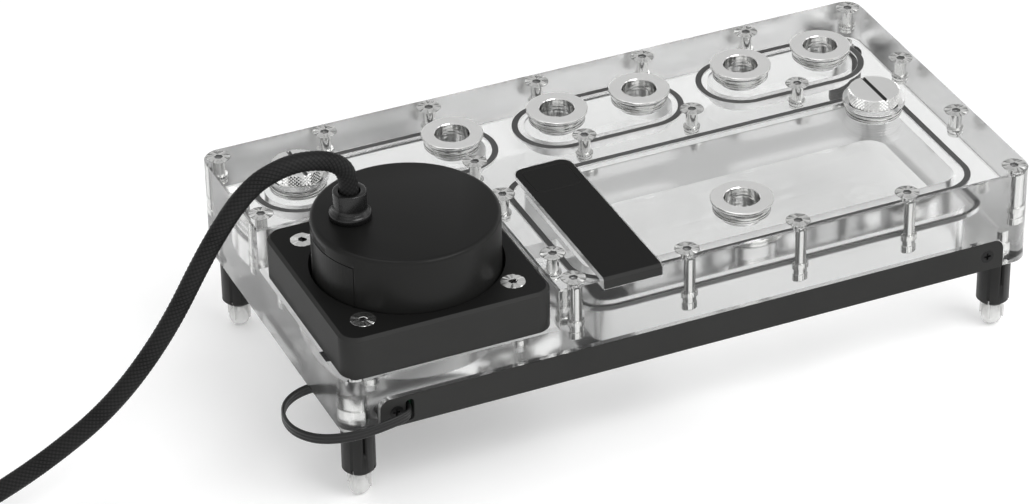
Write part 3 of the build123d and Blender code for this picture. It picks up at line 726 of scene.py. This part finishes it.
def screw_model(name):
    sixth = math.tau / 6
    socket = SOCKET_ACROSS / 2 / np.cos((AROUND + sixth / 2) % sixth - sixth / 2)
    ridges = np.random.default_rng(FACET_SEED).random(FACETS)
    wave = np.interp(AROUND, circle(FACETS), ridges, period=math.tau)

    def face(radius):
        return HEAD_PROUD - FACET_DEPTH * radius * wave

    profile = [
        (0.01, -1.7), (socket * 0.98, -1.55), (socket, HEAD_PROUD - 0.25), (socket + 0.1, face(1.4)),
        (HEAD_RADIUS - 0.15, face(3.85)), (HEAD_RADIUS, face(4.0) - 0.1), (HEAD_RADIUS, -0.3),
        (2.2, -2.1), (2.0, -2.5), (2.0, -19.5), (1.6, -20.0), (0.01, -20.0),
    ]
    # The socket's walls and floor are marked for painted shade.
    return mark(spun(name, profile), "recess", lambda spot: spot.xy.length < 1.45 and -1.8 < spot.z < -0.1)


def insert_model(name):
    flutes = FLUTE_DEPTH * np.abs(np.sin(AROUND * FLUTES / 2))
    profile = [
        (2.0, -14.5), (2.7, -14.5), (2.85 - flutes, -14.7), (2.85 - flutes, -16.4), (2.35, -16.6),
        (2.35, -18.4), (2.6 - flutes, -18.6), (2.6 - flutes, -20.8), (2.4, -21.0), (2.0, -21.0),
    ]
    return spun(name, profile, loop=True)


for label, places in (("cover", COVER_SCREWS), ("pump", PUMP_SCREWS)):
    screws = copies(label + "_screw_set", screw_model("screw"), places, "turned_steel", math.tau, seed=7)
    show(smooth(screws, FACET_ANGLE), label + "_screws")
    inserts = copies(label + "_insert_set", insert_model("insert"), places, "bright_steel", math.tau, seed=3)
    show(smooth(inserts), label + "_inserts")

# %% [markdown]
# ## Port rings
# Each port is a plated brass ring. Its flange is flat, brushed and pale, with polished edges, and the fitting's
# own seal lands there. Under it a narrow neck carries the ring's round seal, and below the neck two grooves
# part the outer thread. The bore has the thread for the fitting, cut as rings because a helix this fine looks
# the same.

# %% Rings
BORE_RADIUS = 5.72
THREAD_PITCH = 1.337
THREAD_TEETH = 6


def ring_model(name):
    outside = [
        (5.95, 0.0), (6.1, 0.0), (9.7, 0.0), (9.85, 0.0), (10.02, -0.08), (10.1, -0.25), (10.1, -1.9),
        (10.0, -2.1), (9.8, -2.2), (8.9, -2.25), (8.6, -2.5), (8.5, -2.8), (8.6, -3.2), (9.0, -3.45),
        (9.3, -3.6), (9.35, -3.9), (9.35, -5.1), (9.2, -5.3), (8.7, -5.4), (8.65, -5.7), (8.8, -6.0),
        (9.25, -6.1), (9.35, -6.3), (9.35, -7.4), (9.2, -7.6), (8.7, -7.7), (8.65, -8.0), (8.8, -8.2),
        (9.25, -8.3), (9.35, -8.5), (9.35, -9.5), (9.2, -9.8), (6.2, -9.8), (BORE_RADIUS, -9.4),
    ]
    inside = []
    for tooth in range(THREAD_TEETH):
        low = -9.1 + tooth * THREAD_PITCH
        inside += [(BORE_RADIUS, low), (BORE_RADIUS + 0.03, low + 0.45), (BORE_RADIUS + 0.03, low + 0.6),
                   (BORE_RADIUS, low + 1.05)]
    return spun(name, outside + inside + [(BORE_RADIUS, -0.3), (BORE_RADIUS, -0.22)], loop=True)


def make_rings():
    rings = copies("port_rings", ring_model("ring"), PORTS + PLUG_RINGS, "polished_nickel", math.tau, seed=5)
    nodes = [f"port_ring_{number}" for number in range(1, 6)]
    nodes += ["port_ring_reservoir", "plug_ring_left", "plug_ring_right"]
    show(smooth(rings), *nodes)


make_rings()

# %% [markdown]
# ## Knurled plugs
# Two ports are closed with plugs that a hand or a coin can turn. A knurling wheel presses crossing lines into
# the head's side and leaves a net of small diamonds between them. One low pyramid is enough: Geometry Nodes
# wraps rows of it round the head, every second row half a diamond further on.

# %% The knurl
PLUG_HEAD = 8.36
KNURL_COLUMNS = 44
KNURL_ROWS = 6
KNURL_LOW = -0.6
KNURL_PITCH = 0.6
KNURL_DEPTH = 0.34
KNURL_ROOT = 0.4


def knurl_tree():
    sockets = {"Tooth": "Object", "Centre": "Vector", "Radius": "Float", "Columns": "Int", "Rows": "Int",
               "Pitch": "Float", "Finish": "Material"}
    board, ids, given = new_tree("knurl", sockets)
    count = given["Columns"] * given["Rows"]
    line = board.node("GeometryNodeMeshLine", {"mode": "OFFSET"}, {"Count": count})[0]
    index = board.node("GeometryNodeInputIndex")[0]
    column = index % given["Columns"]
    row = (index / given["Columns"]).math("FLOOR")
    angle = (column + (row % 2.0) * 0.5) * (math.tau / given["Columns"].math("MAXIMUM", 1.0))
    x = angle.math("COSINE") * given["Radius"]
    y = angle.math("SINE") * given["Radius"]
    spot = board.node("ShaderNodeCombineXYZ", {}, {"X": x, "Y": y, "Z": row * given["Pitch"]})[0]
    place = board.node("ShaderNodeVectorMath", {"operation": "ADD"}, {0: spot, 1: given["Centre"]})[0]
    points = board.node("GeometryNodeSetPosition", {}, {"Geometry": line, "Position": place})[0]
    tooth = board.node("GeometryNodeObjectInfo", {}, {"Object": given["Tooth"], "As Instance": True})[-1]
    turn = board.node("ShaderNodeCombineXYZ", {}, {"Z": angle})[0]
    stands = {"Points": points, "Instance": tooth, "Rotation": turn}
    teeth = board.node("GeometryNodeInstanceOnPoints", {}, stands)[0]
    real = board.node("GeometryNodeRealizeInstances", {}, {"Geometry": teeth})[0]
    both = board.node("GeometryNodeJoinGeometry", {}, {0: [real, given["Geometry"]]})[0]
    whole = board.node("GeometryNodeRealizeInstances", {}, {"Geometry": both})[0]
    done = board.node("GeometryNodeSetMaterial", {}, {"Geometry": whole, "Material": given["Finish"]})[0]
    board.node("NodeGroupOutput", {}, {0: done})
    return board.tree, ids


KNURL = knurl_tree()


def tooth_model():
    """A four-sided pyramid whose point looks along +X. Its root is sunk in the head."""
    half_wide = PLUG_HEAD * math.tau / KNURL_COLUMNS / 2
    diamond = [(half_wide, 0), (0, KNURL_PITCH), (-half_wide, 0), (0, -KNURL_PITCH)]
    root, base = [[(depth, *corner) for corner in diamond] for depth in (-KNURL_ROOT, 0)]
    points = np.array(root + base + [(KNURL_DEPTH, 0, 0)]) * MM
    sides = [(i, (i + 1) % 4, (i + 1) % 4 + 4, i + 4) for i in range(4)]
    tips = [(i + 4, (i + 1) % 4 + 4, 8) for i in range(4)]
    mesh = bpy.data.meshes.new("tooth")
    mesh.from_pydata(points.tolist(), [], sides + tips + [(0, 3, 2, 1)])
    return link("tooth", outward(mesh))


# %% [markdown]
# ## The turned plug and its slot
# The plug is turned to a profile and its slot is then sawn across the face, so here a lathed skin loses a
# block. The slot's floor and walls are marked for painted shade before the knurl is wrapped on. The washer
# under the head keeps its CAD shape.

# %% Plugs
PLUG_TOP = 2.9
PLUG_ANGLE = math.radians(20)
SLOT_WIDTH = 1.4
SLOT_LENGTH = 20.0
SLOT_DEPTH = 1.6
PLUG = [
    (0.01, PLUG_TOP), (PLUG_HEAD - 0.1, PLUG_TOP), (PLUG_HEAD, PLUG_TOP - 0.08), (PLUG_HEAD, -1.1),
    (PLUG_HEAD - 0.2, -1.2), (7.9, -1.3), (7.9, -1.9), (7.7, -2.0), (5.6, -2.0), (5.6, -9.2), (5.2, -9.6),
    (0.01, -9.6),
]


def slot_cutter(centre):
    """A block that cuts the coin slot across the plug's face."""
    mesh = bpy.data.meshes.new("slot")
    shape = bmesh.new()
    bmesh.ops.create_cube(shape, size=1.0)
    bmesh.ops.scale(shape, vec=Vector((SLOT_WIDTH, SLOT_LENGTH, 2 * SLOT_DEPTH)) * MM, verts=shape.verts)
    bmesh.ops.translate(shape, vec=Vector(centre) + Vector((0, 0, PLUG_TOP * MM)), verts=shape.verts)
    shape.to_mesh(mesh)
    shape.free()
    return link("slot", mesh)


def make_plug(side):
    x, y = PLUGS[side]
    roof = PLATE_TOP + PLUG_TOP
    centre = (x * MM, y * MM, PLATE_TOP * MM)

    def in_slot(spot):
        return (abs(spot.x - x) < 0.6 * SLOT_WIDTH and abs(spot.y - y) < PLUG_HEAD
                and -SLOT_DEPTH - 0.1 < spot.z - roof < -0.05)

    plug = carve(spun(f"plug_{side}_turned", PLUG, centre), "DIFFERENCE", slot_cutter(centre))
    # The slot's walls and floor are marked for painted shade.
    mark(plug, "recess", in_slot)
    tooth = tooth_model()
    run_tree(plug, KNURL, {
        "Tooth": tooth, "Centre": (centre[0], centre[1], centre[2] + KNURL_LOW * MM),
        "Radius": PLUG_HEAD * MM, "Columns": KNURL_COLUMNS, "Rows": KNURL_ROWS, "Pitch": KNURL_PITCH * MM,
        "Finish": SLOTS["knurled_nickel"]})
    bpy.data.objects.remove(tooth)
    print("plug", side, len(plug.data.polygons), "faces")
    show(smooth(plug, PLUG_ANGLE), "plug_" + side)
    dress("plug_washer_" + side)


for side in PLUGS:
    make_plug(side)

# %% [markdown]
# ## The pump, its mount and its gland
# The mount is a milled and anodised square with a chamfer all round. The can sits in it with a thin shadow
# gap. Where the cord leaves, a rubber gland flares out at its foot, so that it grips the can and lets the
# cord bend without a sharp edge.

# %% Pump
MOUNT_EDGE = 0.1
GLAND_PLACE = (-100.2 * MM, -21.6 * MM, 80.6 * MM)
GLAND = [
    (0.01, 2.1), (3.35, 2.1), (3.35, 9.2), (3.6, 9.5), (4.0, 9.6), (4.85, 9.6), (5.15, 9.45), (5.3, 9.1),
    (5.3, 4.2), (5.38, 3.5), (5.65, 2.95), (6.0, 2.65), (6.05, 2.4), (6.35, 2.2), (6.6, 1.9), (6.7, 1.5),
    (6.7, 0.35), (6.6, 0.1), (6.4, 0.0), (0.01, 0.0),
]
PUMP_NODES = ("pump_can", "wet_housing", "rotor_magnet", "rotor_post", "impeller", "stator_core",
              "stator_coils", "pump_board", "pump_seal")

show(smooth(spun("gland", GLAND, GLAND_PLACE), math.radians(50)), "cable_gland")
for node in PUMP_NODES:
    dress(node)
dress("pump_mount", MOUNT_EDGE)
print("pump dressed,", len(PUMP_NODES) + 2, "nodes")

# %% [markdown]
# ## Bar, rail, light, feet and seals
# These keep their CAD shapes. The bar, its blank badge plate and the rail get their broken edges, and the
# seals show through the clear cover as dark rubber lines.

# %% The rest of the hardware
EDGES = {"cover_bar": 0.2, "badge_plate": 0.12, "light_rail": 0.2, "rail_screws": 0.0, "light_strip": 0.1,
         "light_lamps": 0.0, "foot_studs": 0.0, "foot_inserts": 0.0}
FEET_AND_SEALS = ("foot_sleeve", "foot_tip", "channel_seal", "reservoir_seal", "port_seals", "plug_ring_seals")

for node, edge in EDGES.items():
    dress(node, edge)
soft_nodes = [node for node in sorted(frame["nodes"]) if node.startswith(FEET_AND_SEALS)]
for node in soft_nodes:
    dress(node)
print(len(EDGES), "hard nodes and", len(soft_nodes), "feet and seals")

# %% [markdown]
# ## Cords as one smooth line
# A cord bends smoothly under its own weight, so its line is one NURBS spline and not a row of straight runs.
# The points below pull on that line without lying on it. Wound turns at the end are more points of the same
# line. A helper curve with no thickness turns the spline into closely spaced points, and the cord's skin is
# built round those.

# %% A line through the air, read from a spline


SPLINE_DETAIL = 24


def spline_points(name, points):
    """The points of a smooth curve drawn by these control points."""
    data = bpy.data.curves.new(name, "CURVE")
    data.dimensions = "3D"
    data.resolution_u = SPLINE_DETAIL
    spline = data.splines.new("NURBS")
    spline.points.add(len(points) - 1)
    for control, place in zip(spline.points, points):
        control.co = (*place, 1.0)
    spline.order_u = 3
    spline.use_endpoint_u = True
    helper = link(name, data)
    bpy.context.view_layer.update()
    mesh = bpy.data.meshes.new_from_object(helper.evaluated_get(bpy.context.evaluated_depsgraph_get()))
    line = np.array([v.co[:] for v in mesh.vertices], float)
    bpy.data.objects.remove(helper)
    bpy.data.meshes.remove(mesh)
    return line


def spiral(centre, start_angle, turns, outer, inner, height, per_turn=16):
    """Control points of flat turns that wind inwards, counter-clockwise from above."""
    steps = int(turns * per_turn)
    made = []
    for step in range(1, steps + 1):
        share = step / steps
        angle = start_angle + share * turns * math.tau
        radius = outer + (inner - outer) * share
        made.append((centre[0] + radius * math.cos(angle), centre[1] + radius * math.sin(angle), height))
    return made


def even_points(line, step):
    """The same line with its points a fixed distance apart, and its length."""
    gaps = np.linalg.norm(np.diff(line, axis=0), axis=1)
    along = np.concatenate([[0.0], np.cumsum(gaps)])
    count = int(round(along[-1] / step))
    where = np.linspace(0.0, along[-1], count + 1)
    return np.stack([np.interp(where, along, line[:, axis]) for axis in range(3)], axis=1), along[-1]


# %% [markdown]
# ## A skin round a line
# A tube needs two side vectors at every point of its line. They are carried from point to point, so that the
# skin doesn't twist, and a ribbon keeps one of them as upright as it can. Rings of points laid on those
# vectors are joined into one closed skin.

# %% Rings along a line


def frames_along(line, up=None):
    """Two side vectors at every point. With up, the first side stays as upright as it can."""
    tangents = np.gradient(line, axis=0)
    tangents /= np.linalg.norm(tangents, axis=1)[:, None]
    if up is not None:
        side = np.cross(np.tile(up, (len(line), 1)), tangents)
        side /= np.linalg.norm(side, axis=1)[:, None]
        return np.cross(tangents, side), side
    first = np.cross(tangents[0], (0.0, 1.0, 0.0))
    rows = [first / np.linalg.norm(first)]
    for tangent in tangents[1:]:
        moved = rows[-1] - tangent * np.dot(rows[-1], tangent)
        rows.append(moved / np.linalg.norm(moved))
    normal = np.array(rows)
    return normal, np.cross(tangents, normal)


def tube_mesh(name, rings):
    """A closed skin over rings of points, with a cap on each end."""
    rows, around = rings.shape[0], rings.shape[1]
    vertices = np.concatenate([rings.reshape(-1, 3), [rings[0].mean(axis=0), rings[-1].mean(axis=0)]])
    step = np.arange(around)
    after = (step + 1) % around
    low = (np.arange(rows - 1) * around)[:, None]
    high = low + around
    quads = np.stack([low + step, low + after, high + after, high + step], axis=2).reshape(-1, 4)
    tip, last = rows * around, (rows - 1) * around
    ends = [(tip, b, a) for a, b in zip(step.tolist(), after.tolist())]
    ends += [(tip + 1, last + a, last + b) for a, b in zip(step.tolist(), after.tolist())]
    mesh = bpy.data.meshes.new(name)
    mesh.from_pydata(vertices.tolist(), [], quads.tolist() + ends)
    return mesh


# %% [markdown]
# ## The pump's braided cord
# Four wires run in a braided sleeve of thin plastic threads. The threads wind round the wires in two
# directions and pass over and under each other, which leaves rows of small raised diamonds. The skin is a
# tube whose radius rises and falls with that weave. The cord leaves the gland upwards, leans over to the
# left under its own weight and comes down to the table, where its spare length is wound up.

# %% Pump cord
PUMP_CORD_DIAMETER = 6.3 * MM
PUMP_ROUTE = [
    (-0.1002, -0.0216, 0.0826), (-0.1002, -0.0216, 0.0940), (-0.1024, -0.0216, 0.0996),
    (-0.1094, -0.0216, 0.1034), (-0.1205, -0.0216, 0.1044), (-0.1335, -0.0217, 0.0993),
    (-0.1468, -0.0218, 0.0820), (-0.1620, -0.0218, 0.0550), (-0.1810, -0.0218, 0.0332),
    (-0.2040, -0.0218, 0.0190), (-0.2270, -0.0217, 0.0092), (-0.2460, -0.0216, 0.00315),
    (-0.2630, -0.0216, 0.00315),
]
PUMP_COIL_CENTRE = (-0.2880, -0.0619)
PUMP_COIL = spiral(PUMP_COIL_CENTRE, math.pi / 2, 1.96, 0.0403, 0.0279, 0.00315)
PUMP_END = [
    (-0.2880, -0.0343, 0.0042), (-0.2950, -0.0349, 0.0074), (-0.3020, -0.0354, 0.0098),
    (-0.3100, -0.0367, 0.0101), (-0.3180, -0.0398, 0.0100), (-0.3220, -0.0445, 0.0098),
    (-0.3220, -0.0520, 0.0098),
]
WEAVE_AROUND = 48
WEAVE_STEP = 0.42 * MM
WEAVE_DEPTH = 0.32 * MM
WEAVE_POWER = 0.6
CAP_WEAVE_SHADE = 0.5
THREADS = 12
PUMP_PLUG_EDGE = 0.4


def pump_cord():
    line = spline_points("pump_line", PUMP_ROUTE + [(-0.2880, -0.0216, 0.00315)] + PUMP_COIL + PUMP_END)
    line, length = even_points(line, WEAVE_STEP)
    normal, side = frames_along(line)
    angle = circle(WEAVE_AROUND)
    along = np.arange(len(line)) * WEAVE_STEP / (PUMP_CORD_DIAMETER / 2)
    left = THREADS / 2 * (angle[None, :] + along[:, None])
    right = THREADS / 2 * (angle[None, :] - along[:, None])
    weave = np.abs(np.sin(left) * np.sin(right)) ** WEAVE_POWER
    radius = PUMP_CORD_DIAMETER / 2 - WEAVE_DEPTH * (1 - weave)
    spokes = (np.cos(angle)[None, :, None] * normal[:, None, :]
              + np.sin(angle)[None, :, None] * side[:, None, :])
    cord = link("pump_braid", tube_mesh("pump_braid", line[:, None, :] + radius[:, :, None] * spokes))
    cord.data.shade_smooth()
    # The weave number also colours the sleeve: painted shade in the hollows and a lighter crest. The caps take
    # a middle value.
    raised = np.concatenate([weave.ravel(), [CAP_WEAVE_SHADE, CAP_WEAVE_SHADE]])
    cord.data.attributes.new("raised", "FLOAT", "POINT").data.foreach_set("value", raised)
    show(cord, "pump_cord", "pump_cord_coil")
    plug = dress("pump_plug", PUMP_PLUG_EDGE)
    PUMP_ROUTE[0]
    print("pump cord", round(length, 4), "m,", len(cord.data.polygons), "faces")


pump_cord()

# %% [markdown]
# ## The light's flat cord
# Three thin wires are moulded side by side, so the cord is a ribbon with shallow grooves between the wires.
# It leaves a slot in the light rail standing on its edge, because that is how its wires lie in the rail. A
# ribbon bends easily only across its thin side, so its upright side follows the line all the way.

# %% Light cord
LIGHT_WIDTH = 3.6 * MM
LIGHT_THICKNESS = 1.3 * MM
LIGHT_ROUTE = [
    (-0.0986, -0.0590, 0.0332), (-0.0986, -0.0632, 0.0332), (-0.1020, -0.0654, 0.0330),
    (-0.1096, -0.0663, 0.0324), (-0.1190, -0.0660, 0.0314), (-0.1282, -0.0620, 0.0304),
    (-0.1332, -0.0542, 0.0294), (-0.1338, -0.0450, 0.0284), (-0.1306, -0.0360, 0.0272),
    (-0.1235, -0.0285, 0.0252), (-0.1136, -0.0226, 0.0219), (-0.1026, -0.0160, 0.0156),
    (-0.0916, -0.0082, 0.0088), (-0.0824, -0.0010, 0.0036), (-0.0735, 0.0066, 0.0019),
    (-0.0642, 0.0066, 0.0019),
]
LIGHT_COIL_CENTRE = (-0.0532, 0.0296)
LIGHT_COIL = spiral(LIGHT_COIL_CENTRE, -math.pi / 2, 2.95, 0.0230, 0.0171, 0.0019)
LIGHT_END = [
    (-0.0516, 0.0124, 0.0022), (-0.0474, 0.0127, 0.0036), (-0.0430, 0.0136, 0.0054),
    (-0.0370, 0.0164, 0.0055), (-0.0334, 0.0196, 0.0054), (-0.0332, 0.0240, 0.0053),
]
RIBBON_STEP = 0.5 * MM
RIBBON_AROUND = 42
WIRES = 3
GROOVE_DEPTH = 0.28
EDGE_SQUARENESS = 6
LIGHT_PLUG_EDGE = 0.2


def ribbon_section():
    """One ring of points round three wires that stand on each other."""
    angle = circle(RIBBON_AROUND)
    high = LIGHT_WIDTH / 2 * np.sin(angle)
    lobe = np.abs(np.cos(high / LIGHT_WIDTH * WIRES * math.pi))
    edge = np.sqrt(np.clip(1 - (np.abs(high) / (LIGHT_WIDTH / 2)) ** EDGE_SQUARENESS, 0, 1))
    groove = 1 - GROOVE_DEPTH + GROOVE_DEPTH * lobe
    return high, np.sign(np.cos(angle)) * LIGHT_THICKNESS / 2 * edge * groove


def light_cord():
    line = spline_points("light_line", LIGHT_ROUTE + [(-0.0532, 0.0066, 0.0019)] + LIGHT_COIL + LIGHT_END)
    line, length = even_points(line, RIBBON_STEP)
    upright, side = frames_along(line, (0.0, 0.0, 1.0))
    high, wide = ribbon_section()
    rings = (line[:, None, :] + high[None, :, None] * upright[:, None, :]
             + wide[None, :, None] * side[:, None, :])
    cord = link("light_ribbon", tube_mesh("light_ribbon", rings[:, ::-1]))
    show(smooth(cord, math.radians(70)), "light_cord", "light_cord_coil")
    plug = dress("light_plug", LIGHT_PLUG_EDGE)
    LIGHT_ROUTE[0]
    print("light cord", round(length, 4), "m,", len(cord.data.polygons), "faces")


light_cord()

# %% [markdown]
# ## The table and the light
# The object stands on a plain pale light table under soft studio light, and the table's own faint glow lifts
# the shadows. The sky is bright near the horizon and straight above, and dimmer between them. Upright black
# faces mirror the bright table and level black faces mirror the dim band, which is why the photograph's blacks
# are deeper on top than on the side.

# %% Floor, sky and lights
FLOOR_HALF = 6.0
SKY = ((0.0, 0.9), (0.5, 0.95), (0.57, 0.85), (0.70, 0.6), (0.86, 0.5), (1.0, 0.9))
FLOOR_GLOW = 0.15


def make_floor():
    shape = bmesh.new()
    bmesh.ops.create_grid(shape, x_segments=8, y_segments=8, size=FLOOR_HALF)
    mesh = bpy.data.meshes.new("floor")
    shape.to_mesh(mesh)
    shape.free()
    floor = link("floor", mesh)
    paint = Paint("floor")
    tint = paint.blend(paint.noise(3.0, 2.0), (0.91, 0.91, 0.91), (0.93, 0.93, 0.93))
    mesh.materials.append(paint.surface(Base_Color=tint, Roughness=0.8, Emission_Color=(1.0, 1.0, 1.0),
                                        Emission_Strength=FLOOR_GLOW).done())


def make_sky():
    world = bpy.data.worlds.new("studio")
    bpy.context.scene.world = world
    world.use_nodes = True
    board = Board(world.node_tree)
    board.tree.nodes.clear()
    where = board.node("ShaderNodeTexCoord")["Generated"]
    height = board.node("ShaderNodeSeparateXYZ", {}, {0: where})["Z"] * 0.5 + 0.5
    glow = board.node("ShaderNodeValToRGB", {"stops": SKY}, {0: height})[0]
    back = board.node("ShaderNodeBackground", {}, {"Color": glow, "Strength": 1.0})[0]
    board.node("ShaderNodeOutputWorld", {}, {"Surface": back})


def soft_light(name, place, aim, size, power):
    data = bpy.data.lights.new(name, "AREA")
    data.shape = "RECTANGLE"
    data.size, data.size_y = size
    data.energy = power
    light = link(name, data)
    light.location = place
    light.rotation_euler = (Vector(aim) - Vector(place)).to_track_quat("-Z", "Y").to_euler()


# Place, aim, width and height in metres, and watts.
LIGHTS = {
    "key": ((0.45, -0.8, 1.25), (0, 0, 0), (0.9, 0.7), 10),
    "top": ((-0.3, 0.3, 1.7), (0, 0, 0), (1.0, 0.7), 4),
    "front": ((-0.9, -1.3, 0.7), (0, 0, 0.03), (1.2, 0.8), 2),
    "right_fill": ((1.5, -0.5, 0.8), (0, 0, 0), (0.6, 1.0), 2),
}
make_floor()
make_sky()
for name, recipe in LIGHTS.items():
    soft_light(name, *recipe)
bpy.context.scene.view_settings.view_transform = "Standard"
print(len(LIGHTS), "lights")
